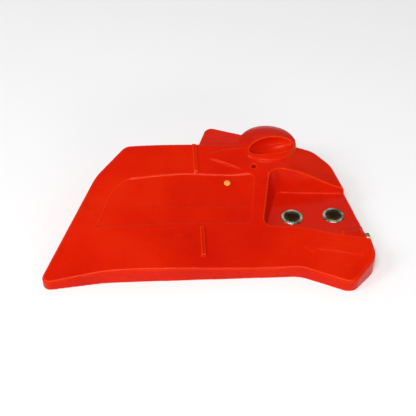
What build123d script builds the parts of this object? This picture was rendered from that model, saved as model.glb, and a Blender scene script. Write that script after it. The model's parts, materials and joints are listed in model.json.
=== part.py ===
from build123d import *
import math
import os

# Clutch cover of a chainsaw, with the chain brake and the chain tensioner that it carries.
# Frame: origin midway between the two bar studs, on the face that clamps the guide bar. The
# heights in this file are measured from the cover's rim, SEAT_Z below that face.
# +X runs forward along the guide bar, +Y to the top of the saw, +Z outward from the saw.
# All sizes are in millimetres.

# ---- moulded cover -------------------------------------------------------------------------
WALL = 2.6                  # wall of the moulding
STUD_SPACING = 31.5         # between the two bar studs
COVER_REAR = 200.5          # from the studs' midpoint back to the lower rear corner
PLATE_TILT = 0.25           # rise of the outer plate per millimetre of Y
LOWER_EDGE_Y = -48.0        # where the plate's crown heights are measured
TOP_EDGE_Y = 64.0           # upper edge of the plate
EAR_Z = 36.0                # top of the ear behind the upper edge
EAR_LOW_Y = 58.5            # how far the ear runs in under the plate
FRONT_X = 38.0              # front of the lower arm
ARM_TIP_X = 28.0            # tip of the upper arm
ARM_TIP_Y = 27.5
FRONT_SLANT = 0.17          # how the front edge runs forward as it comes down
EDGE_ROUND = 2.8            # rounding of the outer edges
PANEL_DEPTH = 0.8           # recessed panel in the plate
PANEL_LEDGE = 0.5           # the panel's shallower strip along its lower edge
PANEL_LEDGE_Y = 4.0
GATE_X = -63.0              # round gate mark in the panel, with the broken sprue in it
GATE_Y = 25.6
GATE_R = 3.4
SPRUE_R = 2.4
ARROW_HEIGHT = 0.4          # raised direction arrow on the lower arm
RIB_HEIGHT = 1.5
RIB_WIDTH = 3.4

# ---- nut pocket and guide bar seat ---------------------------------------------------------
FLOOR_Z = 13.0              # outer face of the pocket's floor
FLOOR_THICK = 3.0
SEAT_Z = 4.0                # face that clamps the guide bar
BUSH_BORE_R = 6.1
BUSH_TUBE_R = 7.2
BUSH_RIM_R = 8.35
BUSH_RIM_THICK = 1.0
BUSH_BOSS_R = 10.0
GUIDE_PLATE_THICK = 1.5
GUIDE_PLATE_LENGTH = 62.0
GUIDE_PLATE_WIDTH = 27.0

# ---- round finger-grip boss ----------------------------------------------------------------
GRIP_X = -28.5
GRIP_Y = 64.0
GRIP_R = 23.0
GRIP_Z = 35.5               # rim of the boss
GRIP_CROWN = 6.0            # how far the boss swells above its rim
GRIP_EDGE = 2.5             # rounding of the rim
SCOOP_X = -25.5             # middle of the finger recess, an ellipsoid that leans under the hood
SCOOP_Y = 55.3
SCOOP_Z = 41.0
SCOOP_LONG_R = 19.8
SCOOP_SHORT_R = 8.4
SCOOP_DEEP_R = 11.5
SCOOP_TURN = 11.0           # degrees, the recess's long axis against X
SCOOP_LEAN = 24.0           # degrees, how far it runs in under the hood
TAB_TURN = (12.0, 48.0)     # degrees, where the rim's tab starts and ends
TAB_OUT = 1.4

# ---- columns, ribs and lugs on the inner face ----------------------------------------------
COLUMN_R = 5.0              # around the brake's pins
SCREW_COLUMN_R = 4.0
SCREW_R = 1.9               # all small screws
SCREW_TIP_GAP = 0.6         # left under a screw's tip
CHANNEL_WALL = 1.8          # side walls of the spring's channel
CHANNEL_END = 3.0
CHANNEL_BOTTOM = 3.2
MOUTH_X = 15.0              # the floor is open to the front from here, between MOUTH_Y
MOUTH_Y = (-26.0, 23.0)
LUG_LONG = 7.0              # front lug that holds the tensioner screw
LUG_HALF = 6.0
LUG_BOTTOM = 1.4
REAR_LUG_X = (-1.0, 2.5)
REAR_LUG_HALF = 5.0
REAR_LUG_BOTTOM = 2.4
LUG_STEP = 0.6              # the front lug stays this far behind the front edge
BULGE_R = 7.9               # roof over the screw in the pocket's floor
BULGE_LONG = 16.5
MECH_COVER_Z = 1.6
MECH_COVER_THICK = 1.4
MECH_SCREWS = [(-145.0, 47.0), (-69.0, 66.0), (-16.5, 55.0), (-41.5, 38.5)]
MECH_HEAD_R = 3.4
MECH_HEAD_THICK = 1.4
MECH_SCREW_TOP = 12.0
GUIDE_SCREWS_X = (-30.5, 0.0)
GUIDE_PLATE_REAR = 4.5      # plate edge behind the rear screw
PIN_CHAMFER = 0.3

# ---- chain brake ---------------------------------------------------------------------------
DRUM_X = -76.0              # axis of the clutch drum, which stays on the saw
DRUM_Y = 4.0
BAND_R = 35.6               # inner radius of the brake band
BAND_THICK = 1.0
BAND_WIDTH = 8.0
BAND_Z = 2.4                # lower edge of the band
HOOK_HIGH = 4.0             # upturned free end of the band
ANCHOR_ANGLE = -42.0        # degrees, place of the band's fixed eye
ANCHOR_PIN_R = 2.5
ANCHOR_PIN_HOLD = 3.8       # length of the pin inside its column
BRAKE_Y = 50.0              # line of the spring, the plunger and the straight knee
SPRING_Z = 10.0             # height of the spring's axis
SPRING_R = 6.6              # outer radius
SPRING_WIRE = 2.2
SPRING_REAR_X = -138.0
SPRING_LENGTH = 52.0
PLUNGER_ROD_R = 3.6
LINK_LENGTH = 14.0          # both knee links, between pin centres
KNEE_FOLD = 36.0            # degrees, each link's fold with the brake applied
LINK_HALF_WIDTH = 4.6
LINK_THICK = 4.0
LINK_Z = 4.6                # lower face of the rear link
LINK_GAP = 0.4              # between stacked links
KNEE_PIVOT_X = -32.0
PIN_R = 2.0                 # pins of the knee
RUN_GAP = 0.05              # radial gap of a running fit
FREE_GAP = 0.4              # gap between pieces that pass each other

# ---- chain tensioner -----------------------------------------------------------------------
TENSION_Y = -19.0
TENSION_Z = 6.6
TENSION_SHANK_R = 2.5
TENSION_HEAD_R = 4.0
TENSION_HEAD_LONG = 3.6
TENSION_BLOCK_X = 12.0
TENSION_BLOCK_LONG = 8.0
TENSION_PIN_R = 3.0

# ---- values worked out from the sizes above ------------------------------------------------
REAR_X = -COVER_REAR
STUD_X = (-STUD_SPACING / 2, STUD_SPACING / 2)
FLOOR_UNDER = FLOOR_Z - FLOOR_THICK
FAR = 300.0                 # past the object in any direction


def disc(x, y, radius, bottom, top):
    """An upright cylinder between two heights."""
    return Pos(x, y, (bottom + top) / 2) * Cylinder(radius, top - bottom)


def rod_x(x0, x1, y, z, radius):
    """A cylinder along X."""
    return Pos((x0 + x1) / 2, y, z) * Rot(0, 90, 0) * Cylinder(radius, abs(x1 - x0))


def block(x0, x1, y0, y1, z0, z1):
    """A box between two corners."""
    return Pos((x0 + x1) / 2, (y0 + y1) / 2, (z0 + z1) / 2) * Box(x1 - x0, y1 - y0, z1 - z0)


def under_crown(crown, tilt, y_ref, lift):
    """Everything below a surface that follows crown (X, Z pairs) and rises with Y by tilt."""
    y0 = -FAR / 2
    points = [(x, y0, z + tilt * (y0 - y_ref) + lift) for x, z in crown]
    low = -FAR
    top = Spline(*points)
    sides = Polyline(points[-1], (points[-1][0], y0, low), (points[0][0], y0, low), points[0])
    face = make_face([top] + list(sides.edges()))
    return extrude(face, FAR, dir=(0, 1, tilt))


# ---- cover ---------------------------------------------------------------------------------
PLATE_CROWN = [(REAR_X - 6, 7.5), (-165, 10.7), (-128, 12.3), (-90, 11.3), (-46, 9.6),
               (-15, 10.6), (20, 14.6), (FRONT_X + 6, 15.6)]
ARM_TILT = 0.1
ARM_REF_Y = 30.0
ARM_CROWN = [(-90, 31.6), (-60, 32.6), (-36, 33.0), (-20, 32.6), (-7, 30.0), (5, 25.9),
             (17, 21.2), (27, 18.4), (42, 17.0)]
FLARE_CROWN = [(-96, 8.6), (-78, 10.9), (-60, 11.5), (-46, 10.8), (-30, 8.0)]
SHOULDER_CROWN = [(-112, 11.0), (-80, 15.2), (-60, 17.7), (-39, 19.9), (-15, 21.5)]
SHOULDER_TILT = 0.3
SHOULDER_REF_Y = -8.0
SHOULDER_SINK = 0.2
PANEL = [(-162.5, -10.2), (-149.5, 22.0), (-138.5, 30.5), (-98.0, 34.0), (-42.0, 32.0), (-48.0, -10.2)]
PANEL_ROUNDS = [1.5, 14.0, 8.0, 60.0, 4.0, 4.0]
SHOULDER = [(-88, 58), (-88, 20), (-55, -14), (-24, -14), (-24, 58)]
POCKET = [(-37.0, -11.2), (-24.7, 29.0), (FRONT_X + 20, 21.8), (FRONT_X + 20, -34.3), (22.0, -27.0),
          (-10.0, -14.9)]
POCKET_ROUNDS = [4.0, 6.0, 3.0, 3.0, 60.0, 60.0]
POCKET_DRAFT = 17.0


def front_x(y):
    """The slanted front edge of the cover, from the upper arm's tip to the lower arm's."""
    return ARM_TIP_X + (ARM_TIP_Y - y) * FRONT_SLANT


def plate_outline(inset):
    """The plate and the lower arm, with all sides moved in by inset."""
    points = [(REAR_X - 3.6, -52.8), (-155, -47.2), (-15.5, -49.4), (19.5, -67.5), (FRONT_X + 2.0, -46.5),
              (front_x(-30.5), -30.5), (front_x(-1), -1), (-22, -1), (-22, TOP_EDGE_Y),
              (-140.5, TOP_EDGE_Y - 1.0), (-163.5, 36.5)]
    rounds = [6.0, 150.0, 24.0, 9.0, 14.0, 12.0, 6.0, 6.0, 6.0, 9.0, 40.0]
    return outline(points, rounds, inset)


def arm_outline(inset):
    """The shoulder around the pocket and the upper arm."""
    points = [(-31, 24), (-34, 33), (-36, 48), (-38, 62), (-8, 62.5), (8, 62), (21.5, 51),
              (ARM_TIP_X, ARM_TIP_Y), (front_x(-9), -9), (-34.5, -9)]
    rounds = [5.0, 5.0, 5.0, 5.0, 12.0, 14.0, 16.0, 10.0, 5.0, 5.0]
    return outline(points, rounds, inset)


def outline(points, rounds, inset):
    """A closed face with rounded corners, shrunk by inset."""
    face = make_face(FilletPolyline(*points, radius=rounds, close=True))
    if inset:
        face = offset(face, -inset, kind=Kind.INTERSECTION)
    return face


def cover_form(inset):
    """The cover's outer volume, or with inset the volume inside its walls."""
    plate = extrude(plate_outline(inset), FAR / 2)
    plate &= under_crown(PLATE_CROWN, PLATE_TILT, LOWER_EDGE_Y, -inset)
    arm = extrude(arm_outline(inset), FAR / 2)
    arm &= under_crown(ARM_CROWN, ARM_TILT, ARM_REF_Y, -inset)
    if not inset:
        plate = rounded_top(plate)
        arm = rounded_top(arm)
    shoulder = extrude(make_face(Polyline(*SHOULDER, close=True)), FAR / 2)
    shoulder &= under_crown(SHOULDER_CROWN, SHOULDER_TILT, SHOULDER_REF_Y, -inset)
    shoulder &= under_crown(ARM_CROWN, ARM_TILT, ARM_REF_Y, -inset - SHOULDER_SINK)
    flare_points = [(-82, 51), (-51, 36.5), (-40, 36), (-38, 58), (-62, 56)]
    flare = extrude(outline(flare_points, [2.0, 6.0, 2.0, 2.0, 6.0], inset), FAR / 2)
    flare &= under_crown(FLARE_CROWN, PLATE_TILT, LOWER_EDGE_Y, -inset)
    low = EAR_LOW_Y - 2 * inset
    ear_points = [(-83.2, low), (-83.2, 63), (-77.0, 82.0), (-72.6, 85.6), (-44, 73.4), (-44, low)]
    ear = extrude(outline(ear_points, [1.0, 2.0, 5.0, 5.0, 1.0, 1.0], inset), EAR_Z - inset)
    return plate + arm + shoulder + flare + ear + grip_form(inset)


def rounded_top(solid):
    """The solid with the edges around its top face rounded."""
    top = solid.faces().sort_by(Axis.Z)[-1]
    return fillet(top.edges(), EDGE_ROUND)


def grip_form(inset):
    """The round boss: a drum with a crowned top and a short tab on its rim."""
    r, rim, top = GRIP_R - inset, GRIP_Z - inset, GRIP_Z + GRIP_CROWN - inset
    ball_r = (r ** 2 + GRIP_CROWN ** 2) / (2 * GRIP_CROWN)
    dome = ThreePointArc((r, rim), (r / 2, top - ball_r + math.sqrt(ball_r ** 2 - r ** 2 / 4)), (0, top))
    sides = Polyline((0, top), (0, 0), (r, 0), (r, rim))
    face = make_face([dome] + list(sides.edges()))
    face = fillet(face.vertices().sort_by_distance((r, rim))[0], GRIP_EDGE)
    drum = Pos(GRIP_X, GRIP_Y) * revolve(Plane.XZ * face, Axis.Z)
    if inset:
        return drum
    first, last = (polar(GRIP_R * 2, turn) for turn in TAB_TURN)
    wedge = make_face(Polyline((0, 0), first, last, close=True))
    tab = Pos(GRIP_X, GRIP_Y) * (wedge & Circle(GRIP_R + TAB_OUT))
    return drum + extrude(tab, GRIP_Z - GRIP_EDGE)


def pocket_block(grow):
    """The open-fronted pocket for the bar nuts, with drafted walls."""
    face = make_face(FilletPolyline(*POCKET, radius=POCKET_ROUNDS, close=True))
    if grow:
        face = offset(face, grow, kind=Kind.INTERSECTION)
    depth = 40.0
    bottom = FLOOR_Z - (FLOOR_THICK if grow else 0)
    return Pos(0, 0, bottom) * extrude(face, depth, taper=-POCKET_DRAFT)


def scoop_block(grow):
    """The finger recess in the near half of the boss, an ellipsoid under the hood."""
    size = (SCOOP_LONG_R + grow, SCOOP_SHORT_R + grow, SCOOP_DEEP_R + grow)
    hollow = scale(Sphere(1), by=size)
    return Pos(SCOOP_X, SCOOP_Y, SCOOP_Z) * Rot(0, 0, SCOOP_TURN) * Rot(SCOOP_LEAN, 0, 0) * hollow


def half_plane(y):
    """All of the plan below y."""
    return Pos(0, y - FAR / 2) * Rectangle(FAR, FAR)


def panel_block():
    """The recessed panel, shallower below the ledge line."""
    face = outline(PANEL, PANEL_ROUNDS, 0)
    lower = extrude(face & half_plane(PANEL_LEDGE_Y), FAR / 3) - surface_block(-PANEL_LEDGE)
    upper = extrude(face - half_plane(PANEL_LEDGE_Y), FAR / 3) - surface_block(-PANEL_DEPTH)
    return upper + lower


def surface_block(lift):
    """Everything below the plate and the shoulder's surfaces, or below a level that far above them."""
    return under_plate(lift) + under_crown(SHOULDER_CROWN, SHOULDER_TILT, SHOULDER_REF_Y, lift)


def arrow_face():
    """A plain arrow that points to the rear, along the lower arm."""
    head = [(-4.2, -39.5), (-11, -33.5), (-3.5, -28.5)]
    shaft = [(-2.8, -32.2), (30.5, -42.6), (29.5, -45.8), (-3.8, -35.6)]
    return make_face(Polyline(*head, *shaft, close=True))


def under_plate(lift):
    """Everything below the plate's surface, or below a level that far above it."""
    return under_crown(PLATE_CROWN, PLATE_TILT, LOWER_EDGE_Y, lift)


def above_plate(depth):
    """Everything above the plate's surface, or above a level that far below it."""
    whole = block(-FAR, FAR, -FAR / 2 + 1, FAR / 2 - 1, -FAR / 2 + 1, FAR / 2 - 1)
    return whole - under_crown(PLATE_CROWN, PLATE_TILT, LOWER_EDGE_Y, -depth)


def plate_rib(x, y0, y1):
    """A raised strip on the plate, along Y."""
    strip = block(x - RIB_WIDTH / 2, x + RIB_WIDTH / 2, y0, y1, 4, FAR / 4) & above_plate(WALL / 2)
    return strip & under_plate(RIB_HEIGHT)


def boss(x, y, radius, bottom):
    """A column that hangs from the cover's inner face down to bottom."""
    return disc(x, y, radius, bottom, FAR / 2)


def wall_rib(x0, x1, y0, y1):
    """A wall of the spring's channel."""
    return block(x0, x1, y0, y1, CHANNEL_BOTTOM, FAR / 2)


ANCHOR_REACH = BAND_R + BAND_THICK + ANCHOR_PIN_R + 0.1
ANCHOR = (DRUM_X + ANCHOR_REACH * math.cos(math.radians(ANCHOR_ANGLE)),
          DRUM_Y + ANCHOR_REACH * math.sin(math.radians(ANCHOR_ANGLE)))
LINK_TOP_Z = LINK_Z + LINK_THICK
LEVER_Z = LINK_TOP_Z + LINK_GAP
LEVER_TOP_Z = LEVER_Z + LINK_THICK
FOLD = math.radians(KNEE_FOLD)
JOINT_X = KNEE_PIVOT_X - LINK_LENGTH * math.cos(FOLD)
JOINT_Y = BRAKE_Y + LINK_LENGTH * math.sin(FOLD)
PLUNGER_PIN_X = KNEE_PIVOT_X - 2 * LINK_LENGTH * math.cos(FOLD)
BRAKE_TRAVEL = 2 * LINK_LENGTH * (1 - math.cos(FOLD))
KNEE_SLACK = BRAKE_TRAVEL / 4 + FREE_GAP
SPRING_FRONT_X = SPRING_REAR_X + SPRING_LENGTH
CHANNEL_HALF = SPRING_R + 0.5
PIVOT_PIN_TOP = LEVER_TOP_Z + LINK_GAP + 8.0


def cover_shell():
    """The moulding: walls, pocket, boss, and the columns that carry what is inside."""
    columns = boss(KNEE_PIVOT_X, BRAKE_Y, COLUMN_R, LEVER_TOP_Z + LINK_GAP)
    columns += boss(*ANCHOR, COLUMN_R, BAND_Z + BAND_WIDTH + FREE_GAP)
    for x, y in MECH_SCREWS:
        columns += boss(x, y, SCREW_COLUMN_R - 0.2, MECH_COVER_Z + MECH_COVER_THICK)
    for x in STUD_X:
        columns += disc(x, 0, BUSH_BOSS_R, SEAT_Z + GUIDE_PLATE_THICK, FLOOR_Z)
    for x in GUIDE_SCREWS_X:
        columns += disc(x, 0, SCREW_COLUMN_R, SEAT_Z + GUIDE_PLATE_THICK, FLOOR_Z)
    channel_x = SPRING_REAR_X - CHANNEL_END
    columns += wall_rib(channel_x, SPRING_REAR_X, BRAKE_Y - CHANNEL_HALF, BRAKE_Y + CHANNEL_HALF)
    for y in (BRAKE_Y - CHANNEL_HALF - CHANNEL_WALL, BRAKE_Y + CHANNEL_HALF):
        columns += wall_rib(channel_x, SPRING_FRONT_X - 2, y, y + CHANNEL_WALL)
    cavity = cover_form(WALL) - pocket_block(WALL) - scoop_block(WALL)
    cavity += block(MOUTH_X, FRONT_X + 20, *MOUTH_Y, -1, FLOOR_UNDER)
    outer = cover_form(0)
    shell = outer - cavity + (columns & outer)
    lug_x = front_x(TENSION_Y) - LUG_STEP
    shell += block(lug_x - LUG_LONG, lug_x, TENSION_Y - LUG_HALF, TENSION_Y + LUG_HALF, LUG_BOTTOM, FLOOR_Z)
    y0, y1 = TENSION_Y - REAR_LUG_HALF, TENSION_Y + REAR_LUG_HALF
    shell += block(*REAR_LUG_X, y0, y1, REAR_LUG_BOTTOM, FLOOR_Z)
    shell = shell - pocket_block(0) - scoop_block(0) - panel_block()
    shell -= disc(GATE_X, GATE_Y, GATE_R, 15, FAR / 4) & above_plate(PANEL_DEPTH + 0.9)
    sprue = disc(GATE_X, GATE_Y, SPRUE_R, 15, FAR / 4) & under_plate(0.3 - PANEL_DEPTH)
    shell += sprue & above_plate(PANEL_DEPTH + 1.2)
    shell += extrude(arrow_face(), FAR / 4) & under_plate(ARROW_HEIGHT) & above_plate(1.0)
    bulge = rod_x(lug_x - BULGE_LONG, lug_x - 1.5, TENSION_Y, TENSION_Z, BULGE_R)
    shell += bulge & block(-FAR, FAR, -FAR, FAR, FLOOR_UNDER, FAR)
    shell += plate_rib(-84.5, -37.5, -13.5) + plate_rib(-86.4, 34.8, TOP_EDGE_Y - 3)
    for x in STUD_X:
        shell -= disc(x, 0, BUSH_TUBE_R, -1, FLOOR_Z + 5)
    for x in GUIDE_SCREWS_X:
        shell -= disc(x, 0, SCREW_R, -1, FLOOR_UNDER)
    for x, y in MECH_SCREWS:
        shell -= disc(x, y, SCREW_R, -1, MECH_SCREW_TOP + SCREW_TIP_GAP)
    x, y = MECH_SCREWS[-1]
    shell -= disc(x, y, SCREW_R, 12, FAR / 2)
    shell -= disc(KNEE_PIVOT_X, BRAKE_Y, PIN_R, -1, PIVOT_PIN_TOP)
    shell -= disc(*ANCHOR, ANCHOR_PIN_R, -1, BAND_Z + BAND_WIDTH + ANCHOR_PIN_HOLD)
    shell -= rod_x(0, 60, TENSION_Y, TENSION_Z, TENSION_SHANK_R + RUN_GAP)
    return shell


def stud_bushing(x):
    """A steel sleeve pressed through the floor, with a rolled rim on the outside."""
    tube = disc(x, 0, BUSH_TUBE_R, SEAT_Z, FLOOR_Z)
    rim = disc(x, 0, BUSH_RIM_R, FLOOR_Z, FLOOR_Z + BUSH_RIM_THICK)
    rim = fillet(rim.edges().group_by(Axis.Z)[-1], BUSH_RIM_THICK * 0.6)
    return tube + rim - disc(x, 0, BUSH_BORE_R, 0, FLOOR_Z + 5)


def guide_plate():
    """The steel plate that the guide bar is clamped against."""
    middle = GUIDE_SCREWS_X[0] - GUIDE_PLATE_REAR + GUIDE_PLATE_LENGTH / 2
    plate = RectangleRounded(GUIDE_PLATE_LENGTH, GUIDE_PLATE_WIDTH, 4)
    plate = Pos(middle, 0, SEAT_Z) * extrude(plate, GUIDE_PLATE_THICK)
    for x in STUD_X:
        plate -= disc(x, 0, BUSH_TUBE_R, 0, FLOOR_Z)
    for x in GUIDE_SCREWS_X:
        plate -= disc(x, 0, SCREW_R, 0, FLOOR_Z)
        plate -= countersink(x, 0, SEAT_Z)
    return plate


def countersink(x, y, face_z):
    """A cone that opens downward at face_z, as deep as the guide plate."""
    return Pos(x, y, face_z + GUIDE_PLATE_THICK / 2) * Cone(
        SCREW_R + GUIDE_PLATE_THICK, SCREW_R, GUIDE_PLATE_THICK)


def hex_socket(x, y, z, across, depth):
    """The hollow for a hex key, going up from z."""
    return Pos(x, y, z) * extrude(RegularPolygon(across / 2, 6, major_radius=False), depth)


def guide_plate_screws():
    """Two countersunk screws that hold the guide plate."""
    group = []
    for x in GUIDE_SCREWS_X:
        screw = disc(x, 0, SCREW_R, SEAT_Z, FLOOR_UNDER - SCREW_TIP_GAP) + countersink(x, 0, SEAT_Z)
        group.append(screw - hex_socket(x, 0, SEAT_Z, 2.5, 1.6))
    return Compound(group)


def mech_cover():
    """A steel plate that closes the spring channel and the knee from the saw's side."""
    points = [(-151, 43.4), (-86, 43.4), (-80, 46), (-62, 46), (-50, 37), (-38, 33), (-10, 46),
              (-10, 59.6), (-60, 59.6), (-62, 71.5), (-76, 71.5), (-78, 59.6), (-137, 59)]
    plate = make_face(FilletPolyline(*points, radius=1.5, close=True))
    plate = Pos(0, 0, MECH_COVER_Z) * extrude(plate, MECH_COVER_THICK)
    for x, y in MECH_SCREWS:
        plate -= disc(x, y, SCREW_R, 0, 5)
    return plate - disc(KNEE_PIVOT_X, BRAKE_Y, PIN_R, 0, 5)


def mech_cover_screws():
    """Four button-head screws that hold the mechanism's cover."""
    group = []
    low = MECH_COVER_Z - MECH_HEAD_THICK
    for x, y in MECH_SCREWS:
        head = disc(x, y, MECH_HEAD_R, low, MECH_COVER_Z)
        head = fillet(head.edges().group_by(Axis.Z)[0], 0.6)
        screw = head + disc(x, y, SCREW_R, MECH_COVER_Z, MECH_SCREW_TOP)
        group.append(screw - hex_socket(x, y, low, 3.0, 1.2))
    return Compound(group)


def brake_band():
    """The steel band around the clutch drum: fixed eye, wrap, and the hooked free end."""
    mid_r = BAND_R + BAND_THICK / 2
    ring = Circle(BAND_R + BAND_THICK) - Circle(BAND_R)
    wedge = make_face(Polyline((0, 0), polar(80, ANCHOR_ANGLE), (80, 80), (0, 80), close=True))
    wrap = Pos(DRUM_X, DRUM_Y) * (ring - wedge)
    eye = Pos(*ANCHOR) * (Circle(ANCHOR_PIN_R + RUN_GAP + BAND_THICK) - Circle(ANCHOR_PIN_R + RUN_GAP))
    tail = Pos(DRUM_X + 5, DRUM_Y + mid_r) * Rectangle(10, BAND_THICK)
    hook = Pos(DRUM_X + 10, DRUM_Y + mid_r + HOOK_HIGH / 2) * Rectangle(BAND_THICK, HOOK_HIGH + BAND_THICK)
    return Pos(0, 0, BAND_Z) * extrude(wrap + eye + tail + hook, BAND_WIDTH)


def polar(radius, angle):
    """The plan point at a radius and an angle in degrees."""
    return (radius * math.cos(math.radians(angle)), radius * math.sin(math.radians(angle)))


def band_anchor_pin():
    """The headed pin through the band's fixed eye."""
    pin = disc(*ANCHOR, ANCHOR_PIN_R, BAND_Z - 1.4, BAND_Z + BAND_WIDTH + ANCHOR_PIN_HOLD)
    return pin + disc(*ANCHOR, ANCHOR_PIN_R + 1.2, BAND_Z - 2.4, BAND_Z - FREE_GAP)


def spring_seat():
    """A cupped washer at the rear end of the spring channel."""
    cup = rod_x(SPRING_REAR_X, SPRING_REAR_X + 1.5, BRAKE_Y, SPRING_Z, SPRING_R)
    return cup + rod_x(SPRING_REAR_X + 1.5, SPRING_REAR_X + 6, BRAKE_Y, SPRING_Z, SPRING_R - SPRING_WIRE - 0.5)


def brake_spring():
    """The compression spring's outer shape, one closed tube."""
    x0, x1 = SPRING_REAR_X + 1.5, SPRING_FRONT_X
    tube = rod_x(x0, x1, BRAKE_Y, SPRING_Z, SPRING_R)
    return tube - rod_x(x0, x1, BRAKE_Y, SPRING_Z, SPRING_R - SPRING_WIRE)


def spring_plunger():
    """The slider between spring and knee, with the arm that pulls the band's hook."""
    x0, x1 = SPRING_FRONT_X, PLUNGER_PIN_X + LINK_HALF_WIDTH
    hook_x = DRUM_X + 10 - BAND_THICK / 2 - FREE_GAP
    rod = rod_x(x0 - 26, x0 + 3, BRAKE_Y, SPRING_Z, PLUNGER_ROD_R)
    head = block(x0, x0 + 4, BRAKE_Y - 6.4, BRAKE_Y + 6.4, LINK_Z, SPRING_Z + 6.4)
    body = block(x0, x1, BRAKE_Y - 5, BRAKE_Y + 5, LEVER_Z, LEVER_TOP_Z)
    arm = block(hook_x - 4, hook_x, DRUM_Y + BAND_R + BAND_THICK + 0.6, BRAKE_Y, LINK_Z, LEVER_TOP_Z)
    slot = Pos(PLUNGER_PIN_X - KNEE_SLACK / 2, BRAKE_Y, 0) * extrude(
        SlotCenterToCenter(KNEE_SLACK, 2 * (PIN_R + FREE_GAP)), 20)
    return rod + head + body + arm - slot


def link_shape(x0, y0, x1, y1, half_width):
    """A flat bar with round ends about two pin centres."""
    long = math.hypot(x1 - x0, y1 - y0)
    turn = math.degrees(math.atan2(y1 - y0, x1 - x0))
    return Pos((x0 + x1) / 2, (y0 + y1) / 2) * Rot(0, 0, turn) * SlotCenterToCenter(long, 2 * half_width)


def knee_lever():
    """The front link, with the nose that the hand guard trips."""
    nose = polar(19, 76)
    flat = link_shape(JOINT_X, JOINT_Y, KNEE_PIVOT_X, BRAKE_Y, LINK_HALF_WIDTH)
    flat += link_shape(KNEE_PIVOT_X, BRAKE_Y, KNEE_PIVOT_X + nose[0], BRAKE_Y + nose[1], 3.2)
    lever = Pos(0, 0, LEVER_Z) * extrude(flat, LINK_THICK)
    for x, y in ((JOINT_X, JOINT_Y), (KNEE_PIVOT_X, BRAKE_Y)):
        lever -= disc(x, y, PIN_R + RUN_GAP, 0, 20)
    return lever


def knee_link():
    """The rear link, under the lever and the plunger."""
    flat = link_shape(PLUNGER_PIN_X, BRAKE_Y, JOINT_X, JOINT_Y, LINK_HALF_WIDTH)
    link = Pos(0, 0, LINK_Z) * extrude(flat, LINK_THICK)
    for x, y in ((JOINT_X, JOINT_Y), (PLUNGER_PIN_X, BRAKE_Y)):
        link -= disc(x, y, PIN_R, 0, 20)
    return link


def plain_pin(x, y, bottom, top):
    """A pin with both ends chamfered."""
    pin = disc(x, y, PIN_R, bottom, top)
    return chamfer(pin.edges().filter_by(GeomType.CIRCLE), PIN_CHAMFER)


def tension_screw():
    """The chain tensioner's screw, turned from the front with a flat blade."""
    head_x = front_x(TENSION_Y - TENSION_HEAD_R) + 0.1
    shank = rod_x(0.5, head_x, TENSION_Y, TENSION_Z, TENSION_SHANK_R)
    head = rod_x(head_x, head_x + TENSION_HEAD_LONG, TENSION_Y, TENSION_Z, TENSION_HEAD_R)
    head = chamfer(head.edges().group_by(Axis.X)[-1], 0.5)
    slot_x = head_x + TENSION_HEAD_LONG
    return shank + head - block(slot_x - 1.6, slot_x + 1, TENSION_Y - 9, TENSION_Y + 9, TENSION_Z - 0.6,
                                TENSION_Z + 0.6)


def tension_screw_clip():
    """The retaining ring behind the front lug."""
    x1 = front_x(TENSION_Y) - LUG_STEP - LUG_LONG - 0.3
    ring = rod_x(x1 - 1.0, x1, TENSION_Y, TENSION_Z, 3.4)
    return ring - rod_x(x1 - 2, x1 + 1, TENSION_Y, TENSION_Z, TENSION_SHANK_R)


def tension_block():
    """The threaded block that runs along the screw."""
    half = TENSION_BLOCK_LONG / 2
    body = block(TENSION_BLOCK_X - half, TENSION_BLOCK_X + half, TENSION_Y - 5, TENSION_Y + 5,
                 TENSION_Z - 3.4, FLOOR_UNDER - 0.3)
    body = chamfer(body.edges().filter_by(Axis.Z), 0.6)
    return body - rod_x(-10, 60, TENSION_Y, TENSION_Z, TENSION_SHANK_R + RUN_GAP)


def tension_pin():
    """The pin that enters the guide bar's adjusting hole."""
    return disc(TENSION_BLOCK_X, TENSION_Y, TENSION_PIN_R, 0.4, TENSION_Z - 3.4)


PARTS = {
    "cover_shell": cover_shell,
    "rear_stud_bushing": lambda: stud_bushing(STUD_X[0]),
    "front_stud_bushing": lambda: stud_bushing(STUD_X[1]),
    "guide_plate": guide_plate,
    "guide_plate_screws": guide_plate_screws,
    "mechanism_cover": mech_cover,
    "mechanism_cover_screws": mech_cover_screws,
    "brake_band": brake_band,
    "band_anchor_pin": band_anchor_pin,
    "spring_seat": spring_seat,
    "brake_spring": brake_spring,
    "spring_plunger": spring_plunger,
    "knee_lever": knee_lever,
    "knee_link": knee_link,
    "knee_pivot_pin": lambda: plain_pin(KNEE_PIVOT_X, BRAKE_Y, MECH_COVER_Z, PIVOT_PIN_TOP),
    "knee_joint_pin": lambda: plain_pin(JOINT_X, JOINT_Y, LINK_Z, LEVER_TOP_Z),
    "plunger_pin": lambda: plain_pin(PLUNGER_PIN_X, BRAKE_Y, LINK_Z, LEVER_TOP_Z),
    "tension_screw": tension_screw,
    "tension_screw_clip": tension_screw_clip,
    "tension_block": tension_block,
    "tension_pin": tension_pin,
}

os.makedirs("parts", exist_ok=True)
for name, make in PARTS.items():
    export_step(Pos(0, 0, -SEAT_Z) * make(), f"parts/{name}.step")
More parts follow.
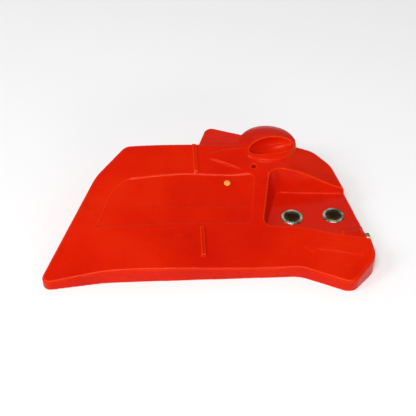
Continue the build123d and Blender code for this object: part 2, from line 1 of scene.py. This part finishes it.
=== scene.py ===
import json
import math
import bmesh
import bpy
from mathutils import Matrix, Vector


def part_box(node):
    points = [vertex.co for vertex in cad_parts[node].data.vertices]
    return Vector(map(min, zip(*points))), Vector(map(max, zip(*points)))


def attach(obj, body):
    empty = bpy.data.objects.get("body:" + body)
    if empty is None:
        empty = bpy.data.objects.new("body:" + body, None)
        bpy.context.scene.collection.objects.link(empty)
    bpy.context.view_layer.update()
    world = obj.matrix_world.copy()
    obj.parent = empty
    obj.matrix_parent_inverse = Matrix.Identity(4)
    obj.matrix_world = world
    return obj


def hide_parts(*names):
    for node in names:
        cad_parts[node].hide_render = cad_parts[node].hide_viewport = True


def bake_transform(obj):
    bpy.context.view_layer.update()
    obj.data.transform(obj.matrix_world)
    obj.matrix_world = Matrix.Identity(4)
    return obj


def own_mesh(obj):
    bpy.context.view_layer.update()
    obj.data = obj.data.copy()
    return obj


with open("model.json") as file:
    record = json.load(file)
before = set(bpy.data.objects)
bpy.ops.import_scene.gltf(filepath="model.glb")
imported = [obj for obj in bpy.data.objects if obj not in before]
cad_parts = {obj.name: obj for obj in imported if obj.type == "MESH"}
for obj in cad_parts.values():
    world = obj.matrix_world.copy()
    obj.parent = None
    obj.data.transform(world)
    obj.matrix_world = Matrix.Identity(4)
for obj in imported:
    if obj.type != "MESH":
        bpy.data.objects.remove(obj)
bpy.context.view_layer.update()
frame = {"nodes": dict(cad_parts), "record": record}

MM = 0.001

# ---- sizes and places, in metres ---------------------------------------------------------------
CAMERA_AZIMUTH = math.radians(-3.4)
CAMERA_ELEVATION = math.radians(42.0)
CAMERA_TARGET = Vector((-78.5, 12.3, 11.0)) * MM
CAMERA_DISTANCE = 654.7 * MM
CAMERA_LENS = 74.4           # for a sensor 36 wide
LIGHT_CENTRE = Vector((-0.08, 0.0, 0.0))
LIGHTS_BACK = 2.5            # how much further off the lights stand than their offsets say
WORLD_STRENGTH = 0.22
RIM_Z = -4.0 * MM            # the cover's rim, below the bar's seat
FLOOR_GAP = 0.2 * MM
FLOOR_REACH = 6.0
SPRUE_PLACE = (-63.0 * MM, 24.9 * MM, 26.8 * MM)   # 3 mm outside, clear of the inner face
SPRUE_R = 4.05 * MM          # ball about that place that colours a round of 2.7 mm radius
SPRUE_RING_R = 4.45 * MM     # and its dark ring, of 3.3 mm radius
SLEEVE_SHADE_Z = 8.0 * MM     # below this height the sleeves' bores are painted dark brown, as painted shade inside the bore
COVER_VOXEL = 0.55 * MM
COVER_SMOOTH_STEPS = 4
SPRING_WIRE = 2.2 * MM
SPRING_TURNS = 11
SPRING_STEPS = 24            # points in each turn
SPRING_CLOSE = 1.15 * SPRING_WIRE   # pitch of the first and last turn
BAND_STEP = 2.0 * MM
SCREW_R = 2.5 * MM
SCREW_PITCH = 0.8 * MM
SCREW_HEAD_LONG = 3.6 * MM
HEAD_OVERLAP = 0.2 * MM      # how far the head reaches back over the thread
THREAD_DEEP = 0.4 * MM
THREAD_SIDES = 20
THREAD_STEPS = 8             # rings in each pitch
THREAD_TIP = 0.7             # the tip's share of the full radius
THREAD_TIP_RINGS = 12
BEVEL_WIDTH = 0.18 * MM
BEVEL_ANGLE = math.radians(40)


# ---- camera --------------------------------------------------------------------------------
def place_camera():
    """The camera looks down at the cover from the bar's lower side."""
    level = math.cos(CAMERA_ELEVATION)
    ahead = Vector((-math.sin(CAMERA_AZIMUTH) * level, math.cos(CAMERA_AZIMUTH) * level,
                    -math.sin(CAMERA_ELEVATION)))
    data = bpy.data.cameras.new("camera")
    data.lens = CAMERA_LENS
    data.sensor_width = 36.0
    data.clip_start = 0.01
    camera = bpy.data.objects.new("camera", data)
    bpy.context.scene.collection.objects.link(camera)
    camera.location = CAMERA_TARGET - ahead * CAMERA_DISTANCE
    camera.rotation_euler = ahead.to_track_quat("-Z", "Y").to_euler()
    bpy.context.scene.camera = camera


# ---- light and floor -----------------------------------------------------------------------
def softbox(name, offset, size, power):
    """A soft light aimed at LIGHT_CENTRE, moved LIGHTS_BACK times further off at the same strength."""
    data = bpy.data.lights.new(name, "AREA")
    data.shape = "RECTANGLE"
    data.size, data.size_y = (LIGHTS_BACK * length for length in size)
    data.energy = LIGHTS_BACK ** 2 * power
    light = bpy.data.objects.new(name, data)
    bpy.context.scene.collection.objects.link(light)
    light.location = LIGHT_CENTRE + LIGHTS_BACK * Vector(offset)
    light.rotation_euler = (LIGHT_CENTRE - light.location).to_track_quat("-Z", "Y").to_euler()


def place_lights():
    world = bpy.data.worlds.new("studio")
    bpy.context.scene.world = world
    world.use_nodes = True
    background = world.node_tree.nodes["Background"]
    background.inputs["Color"].default_value = (1.0, 1.0, 1.0, 1.0)
    background.inputs["Strength"].default_value = WORLD_STRENGTH
    bpy.context.scene.view_settings.view_transform = "Standard"
    softbox("top_softbox", (-0.12, -0.52, 0.86), (0.6, 0.4), 8.4)
    softbox("left_softbox", (-0.77, -0.20, 0.60), (0.4, 0.4), 2.6)
    softbox("front_strip", (0.28, -1.00, 0.30), (0.8, 0.15), 2.6)
    softbox("back_softbox", (0.13, 0.85, 0.72), (0.7, 0.3), 0.35)


def place_floor():
    """A plain pale floor just under the rim."""
    far = FLOOR_REACH
    corners = [(-far, -far, 0), (far, -far, 0), (far, far, 0), (-far, far, 0)]
    mesh = bpy.data.meshes.new("floor")
    mesh.from_pydata(corners, [], [(0, 1, 2, 3)])
    floor = bpy.data.objects.new("floor", mesh)
    bpy.context.scene.collection.objects.link(floor)
    floor.location.z = RIM_Z - FLOOR_GAP
    mesh.materials.append(plain_material("floor_white", (0.93, 0.93, 0.93), 0.6))


# ---- materials -----------------------------------------------------------------------------
def plain_material(name, colour, roughness):
    mat = bpy.data.materials.new(name)
    mat.use_nodes = True
    shader = mat.node_tree.nodes["Principled BSDF"]
    shader.inputs["Base Color"].default_value = (*colour, 1.0)
    shader.inputs["Roughness"].default_value = roughness
    return mat


class Maker:
    """Short calls for a material's nodes."""

    def __init__(self, name, metallic, ior=1.5):
        self.mat = bpy.data.materials.new(name)
        self.mat.use_nodes = True
        self.tree = self.mat.node_tree
        self.shader = self.tree.nodes["Principled BSDF"]
        self.shader.inputs["Metallic"].default_value = metallic
        self.shader.inputs["IOR"].default_value = ior
        self.coords = self.tree.nodes.new("ShaderNodeTexCoord").outputs["Object"]

    def link(self, source, target):
        self.tree.links.new(source, target)

    def stretch(self, scale):
        node = self.tree.nodes.new("ShaderNodeMapping")
        node.inputs["Scale"].default_value = scale
        self.link(self.coords, node.inputs["Vector"])
        return node.outputs["Vector"]

    def noise(self, scale, detail=3.0, rough=0.5, vector=None):
        node = self.tree.nodes.new("ShaderNodeTexNoise")
        node.inputs["Scale"].default_value = scale
        node.inputs["Detail"].default_value = detail
        node.inputs["Roughness"].default_value = rough
        self.link(vector or self.coords, node.inputs["Vector"])
        return node.outputs["Fac"]

    def remap(self, value, low, high, start=0.3, end=0.7):
        node = self.tree.nodes.new("ShaderNodeMapRange")
        node.inputs["From Min"].default_value = start
        node.inputs["From Max"].default_value = end
        node.inputs["To Min"].default_value = low
        node.inputs["To Max"].default_value = high
        self.link(value, node.inputs["Value"])
        return node.outputs["Result"]

    def ramp(self, value, stops):
        node = self.tree.nodes.new("ShaderNodeValToRGB")
        ramp = node.color_ramp
        ramp.elements[0].position, ramp.elements[0].color = stops[0][0], (*stops[0][1], 1.0)
        ramp.elements[1].position, ramp.elements[1].color = stops[-1][0], (*stops[-1][1], 1.0)
        for position, colour in stops[1:-1]:
            ramp.elements.new(position).color = (*colour, 1.0)
        self.link(value, node.inputs["Fac"])
        return node.outputs["Color"]

    def mix(self, factor, a, b):
        node = self.tree.nodes.new("ShaderNodeMix")
        node.data_type = "RGBA"
        self.link(factor, node.inputs["Factor"])
        self.link(a, node.inputs["A"])
        self.link(b, node.inputs["B"])
        return node.outputs["Result"]

    def flat(self, colour):
        node = self.tree.nodes.new("ShaderNodeRGB")
        node.outputs["Color"].default_value = (*colour, 1.0)
        return node.outputs["Color"]

    def scaled(self, value, factor):
        node = self.tree.nodes.new("ShaderNodeMath")
        node.operation = "MULTIPLY"
        self.link(value, node.inputs[0])
        node.inputs[1].default_value = factor
        return node.outputs["Value"]

    def near(self, place, radius):
        """1 inside a ball about a place on the piece, 0 outside, with a soft border."""
        node = self.tree.nodes.new("ShaderNodeVectorMath")
        node.operation = "DISTANCE"
        self.link(self.coords, node.inputs[0])
        node.inputs[1].default_value = place
        return self.remap(node.outputs["Value"], 1.0, 0.0, 0.97 * radius, 1.03 * radius)

    def colour(self, source):
        self.link(source, self.shader.inputs["Base Color"])

    def roughness(self, source):
        self.link(source, self.shader.inputs["Roughness"])

    def bumps(self, *layers):
        normal = None
        for height, strength, distance in layers:
            node = self.tree.nodes.new("ShaderNodeBump")
            node.inputs["Strength"].default_value = strength
            node.inputs["Distance"].default_value = distance
            self.link(height, node.inputs["Height"])
            if normal:
                self.link(normal, node.inputs["Normal"])
            normal = node.outputs["Normal"]
        self.link(normal, self.shader.inputs["Normal"])


def cover_material():
    """Orange-red moulding: mottled, finely grained and scuffed, with worn edges and a painted
    highlight of light caught at its edges, amber sprue.
    """
    m = Maker("cover_orange", 0.0, 1.45)
    cloud = m.noise(16.0, 3.0)
    body = m.ramp(cloud, [(0.3, (0.52, 0.0055, 0.0004)), (0.55, (0.60, 0.0095, 0.0006)),
                          (0.75, (0.64, 0.016, 0.0012))])
    scuffs = m.remap(m.noise(260.0, 6.0, 0.75, m.stretch((0.35, 1.6, 1.0))), 0.0, 1.0, 0.62, 0.74)
    worn = m.mix(m.scaled(scuffs, 0.5), body, m.flat((0.62, 0.05, 0.018)))
    grime = m.remap(m.noise(45.0, 5.0, 0.65), 0.0, 1.0, 0.55, 0.80)
    dirty = m.mix(m.scaled(grime, 0.45), worn, m.flat((0.33, 0.006, 0.0012)))
    geometry = m.tree.nodes.new("ShaderNodeNewGeometry")
    # convex edges painted paler orange: part edge wear, part painted highlight of edges catching light
    # and glowing through the plastic
    edges = m.remap(geometry.outputs["Pointiness"], 0.0, 0.8, 0.505, 0.56)
    pale = m.mix(edges, dirty, m.flat((0.80, 0.060, 0.004)))
    ringed = m.mix(m.near(SPRUE_PLACE, SPRUE_RING_R), pale, m.flat((0.22, 0.006, 0.001)))
    stub = m.ramp(m.noise(300.0, 3.0), [(0.4, (0.85, 0.24, 0.03)), (0.6, (0.82, 0.36, 0.09))])
    m.colour(m.mix(m.near(SPRUE_PLACE, SPRUE_R), ringed, stub))
    m.roughness(m.remap(m.noise(60.0, 4.0), 0.22, 0.34))
    m.bumps((m.noise(900.0, 3.0), 0.05, 0.0002), (m.noise(160.0, 2.0), 0.04, 0.0004),
            (scuffs, 0.06, 0.0001))
    m.shader.inputs["Specular IOR Level"].default_value = 0.14
    m.shader.inputs["Specular Tint"].default_value = (1.0, 0.45, 0.22, 1.0)
    m.shader.inputs["Coat Weight"].default_value = 0.06
    m.shader.inputs["Coat Roughness"].default_value = 0.10
    return m.mat


def sleeve_material():
    """Yellow zinc plate on the rim, with painted shade: dark brown deep inside the bore."""
    m = Maker("sleeve_zinc", 0.9)
    stain = m.noise(240.0, 4.0, 0.6)
    rim = m.ramp(stain, [(0.38, (0.13, 0.11, 0.07)), (0.62, (0.60, 0.55, 0.42))])
    split = m.tree.nodes.new("ShaderNodeSeparateXYZ")
    m.link(m.coords, split.inputs["Vector"])
    # painted shade: below the set height the bore is coloured dark brown, where shade falls deep
    # inside it
    bore_shade = m.remap(split.outputs["Z"], 1.0, 0.0, SLEEVE_SHADE_Z - 0.6 * MM, SLEEVE_SHADE_Z)
    m.colour(m.mix(bore_shade, rim, m.flat((0.17, 0.10, 0.04))))
    m.roughness(m.remap(stain, 0.12, 0.26))
    m.bumps((m.noise(1400.0, 2.0), 0.10, 0.0001))
    return m.mat


def metal_material(name, dark, light, roughness, grain=(1.0, 1.0, 1.0)):
    """Worn metal: stained colour, uneven polish, and a grain that may run one way."""
    m = Maker(name, 1.0)
    stain = m.noise(180.0, 4.0, 0.6)
    m.colour(m.ramp(stain, [(0.3, dark), (0.7, light)]))
    along = m.noise(1500.0, 2.0, 0.5, m.stretch(grain))
    m.roughness(m.remap(stain, roughness - 0.06, roughness + 0.10))
    m.bumps((along, 0.12, 0.0001))
    return m.mat


def dress_cad_nodes():
    mats = {
        "zinc_steel": metal_material("zinc_steel", (0.30, 0.24, 0.10), (0.62, 0.55, 0.34), 0.28),
        "plate_steel": metal_material("plate_steel", (0.42, 0.42, 0.41), (0.66, 0.66, 0.64), 0.34,
                                      (0.05, 1.0, 1.0)),
        "band_steel": metal_material("band_steel", (0.16, 0.15, 0.16), (0.34, 0.33, 0.36), 0.36),
        "spring_steel": metal_material("spring_steel", (0.05, 0.05, 0.06), (0.16, 0.15, 0.15), 0.40),
        "link_steel": metal_material("link_steel", (0.30, 0.30, 0.30), (0.52, 0.51, 0.49), 0.42),
        "pin_steel": metal_material("pin_steel", (0.50, 0.50, 0.51), (0.72, 0.72, 0.73), 0.22),
        "screw_steel": metal_material("screw_steel", (0.03, 0.03, 0.035), (0.10, 0.10, 0.11), 0.45),
        "cover": cover_material(),
    }
    slots = {part["node"]: part["material_slot"] for part in frame["record"]["subparts"]}
    sleeve = sleeve_material()
    for node, ob in frame["nodes"].items():
        ob.data.materials.clear()
        ob.data.materials.append(sleeve if node.endswith("bushing") else mats[slots[node]])
    return mats


# ---- cover ---------------------------------------------------------------------------------
def copy_of(node, name):
    source = frame["nodes"][node]
    mesh = source.data.copy()
    mesh.transform(source.matrix_world)
    mesh.name = name
    ob = bpy.data.objects.new(name, mesh)
    bpy.context.scene.collection.objects.link(ob)
    return ob


def apply_modifiers(ob):
    depsgraph = bpy.context.evaluated_depsgraph_get()
    mesh = bpy.data.meshes.new_from_object(ob.evaluated_get(depsgraph))
    ob.modifiers.clear()
    ob.data = mesh


def moulded_cover(mats):
    """The cover's solid with every edge softened, as a moulding has."""
    ob = copy_of("cover_shell", "cover_moulding")
    remesh = ob.modifiers.new("voxels", "REMESH")
    remesh.mode = "VOXEL"
    remesh.voxel_size = COVER_VOXEL
    smooth = ob.modifiers.new("soften", "SMOOTH")
    smooth.factor = 0.5
    smooth.iterations = COVER_SMOOTH_STEPS
    apply_modifiers(ob)
    ob.data.materials.clear()
    ob.data.materials.append(mats["cover"])
    for polygon in ob.data.polygons:
        polygon.use_smooth = True
    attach(ob, "cover")
    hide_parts("cover_shell")


# ---- pieces with more detail than their solids ------------------------------------------------
def add_mesh(name, points, faces, material):
    mesh = bpy.data.meshes.new(name)
    mesh.from_pydata(points, [], faces)
    mesh.update()
    mesh.materials.append(material)
    for polygon in mesh.polygons:
        polygon.use_smooth = True
    ob = bpy.data.objects.new(name, mesh)
    bpy.context.scene.collection.objects.link(ob)
    return ob


def skin(rings, sides):
    """Faces that join rings of points into a tube closed at both ends."""
    faces = []
    for i in range(rings - 1):
        for k in range(sides):
            a, b = i * sides + k, i * sides + (k + 1) % sides
            faces.append((a, b, b + sides, a + sides))
    last = (rings - 1) * sides
    faces.append(tuple(range(sides - 1, -1, -1)))
    faces.append(tuple(range(last, last + sides)))
    return faces


def tube_along(name, path, radius, material, sides=12):
    """A round wire along a path of points, closed at both ends."""
    points = []
    for i, place in enumerate(path):
        ahead = (path[min(i + 1, len(path) - 1)] - path[max(i - 1, 0)]).normalized()
        across = ahead.cross(Vector((1, 0, 0)))
        across.normalize()
        up = ahead.cross(across)
        for k in range(sides):
            turn = 2 * math.pi * k / sides
            points.append(place + radius * (math.cos(turn) * across + math.sin(turn) * up))
    return add_mesh(name, points, skin(len(path), sides), material)


def coil_spring(mats):
    """The brake spring as a real coil: close end turns, open turns between."""
    low, high = (Vector(corner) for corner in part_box("brake_spring"))
    wire = SPRING_WIRE / 2
    coil_r = (high.z - low.z) / 2 - wire
    x0, x1 = low.x + wire, high.x - wire
    middle = (low + high) / 2
    steps = SPRING_TURNS * SPRING_STEPS
    open_long = x1 - x0 - 2 * SPRING_CLOSE
    path = []
    for i in range(steps + 1):
        share = i / steps
        turns = share * SPRING_TURNS
        start = SPRING_CLOSE * min(turns, 1.0)
        end = SPRING_CLOSE * max(turns - (SPRING_TURNS - 1), 0.0)
        open_run = open_long * min(max((turns - 1) / (SPRING_TURNS - 2), 0.0), 1.0)
        angle = 2 * math.pi * turns
        path.append(Vector((x0 + start + open_run + end, middle.y + coil_r * math.cos(angle),
                            middle.z + coil_r * math.sin(angle))))
    ob = tube_along("brake_spring_coil", path, wire, mats["spring_steel"])
    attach(ob, "cover")
    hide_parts("brake_spring")
    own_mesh(ob)


def springy_band(mats):
    """The brake band's copy, cut into slices along X and Y, with its place baked into its mesh; the
    solid is hidden.
    """
    ob = copy_of("brake_band", "brake_band_strip")
    divide(ob.data, BAND_STEP)
    ob.data.materials.clear()
    ob.data.materials.append(mats["band_steel"])
    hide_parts("brake_band")
    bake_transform(ob)


def divide(mesh, step):
    """Cuts the mesh into slices along X and Y, so that it can bend."""
    work = bmesh.new()
    work.from_mesh(mesh)
    for axis in (0, 1):
        low = min(v.co[axis] for v in work.verts)
        high = max(v.co[axis] for v in work.verts)
        place = low + step
        while place < high - step / 2:
            normal = Vector((0, 0, 0))
            normal[axis] = 1.0
            everything = work.verts[:] + work.edges[:] + work.faces[:]
            bmesh.ops.bisect_plane(work, geom=everything, plane_co=normal * place, plane_no=normal)
            place += step
    work.to_mesh(mesh)
    work.free()


def screw_head(head_x):
    """The screw's solid cut off behind its slotted head."""
    head = copy_of("tension_screw", "tension_screw_head")
    work = bmesh.new()
    work.from_mesh(head.data)
    cut = bmesh.ops.bisect_plane(work, geom=work.verts[:] + work.edges[:] + work.faces[:],
                                 plane_co=(head_x - HEAD_OVERLAP, 0, 0), plane_no=(1, 0, 0),
                                 clear_inner=True)
    rim = [item for item in cut["geom_cut"] if isinstance(item, bmesh.types.BMEdge)]
    bmesh.ops.holes_fill(work, edges=rim)
    work.to_mesh(head.data)
    work.free()
    return head


def screw_thread(tip, head_x, material):
    """The shank from its tip to the head, with its thread cut all along."""
    step = SCREW_PITCH / THREAD_STEPS
    steps = int((head_x - tip.x) / step)
    points = []
    for i in range(steps + 1):
        x = tip.x + i * step
        taper = min(1.0, THREAD_TIP + (1.0 - THREAD_TIP) * i / THREAD_TIP_RINGS)
        for k in range(THREAD_SIDES):
            turn = 2 * math.pi * k / THREAD_SIDES
            wave = 0.5 + 0.5 * math.cos(2 * math.pi * (x - tip.x) / SCREW_PITCH - turn)
            r = taper * (SCREW_R - THREAD_DEEP * wave)
            points.append((x, tip.y + r * math.cos(turn), tip.z + r * math.sin(turn)))
    return add_mesh("tension_screw_thread", points, skin(steps + 1, THREAD_SIDES), material)


def threaded_screw(mats):
    """The tensioner screw: its slotted head, and a shank with a real thread."""
    low, high = (Vector(corner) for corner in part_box("tension_screw"))
    middle = (low + high) / 2
    head_x = high.x - SCREW_HEAD_LONG
    head = screw_head(head_x)
    head.data.materials.clear()
    head.data.materials.append(mats["zinc_steel"])
    thread = screw_thread(Vector((low.x, middle.y, middle.z)), head_x, mats["zinc_steel"])
    for ob in (head, thread):
        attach(ob, "screw")
    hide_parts("tension_screw")


def break_edges():
    """A small bevel on every hard edge of the pieces shown straight from their solids."""
    for ob in frame["nodes"].values():
        bevel = ob.modifiers.new("broken_edges", "BEVEL")
        bevel.width = BEVEL_WIDTH
        bevel.segments = 2
        bevel.limit_method = "ANGLE"
        bevel.angle_limit = BEVEL_ANGLE


place_camera()
place_lights()
place_floor()
materials = dress_cad_nodes()
moulded_cover(materials)
coil_spring(materials)
springy_band(materials)
threaded_screw(materials)
break_edges()
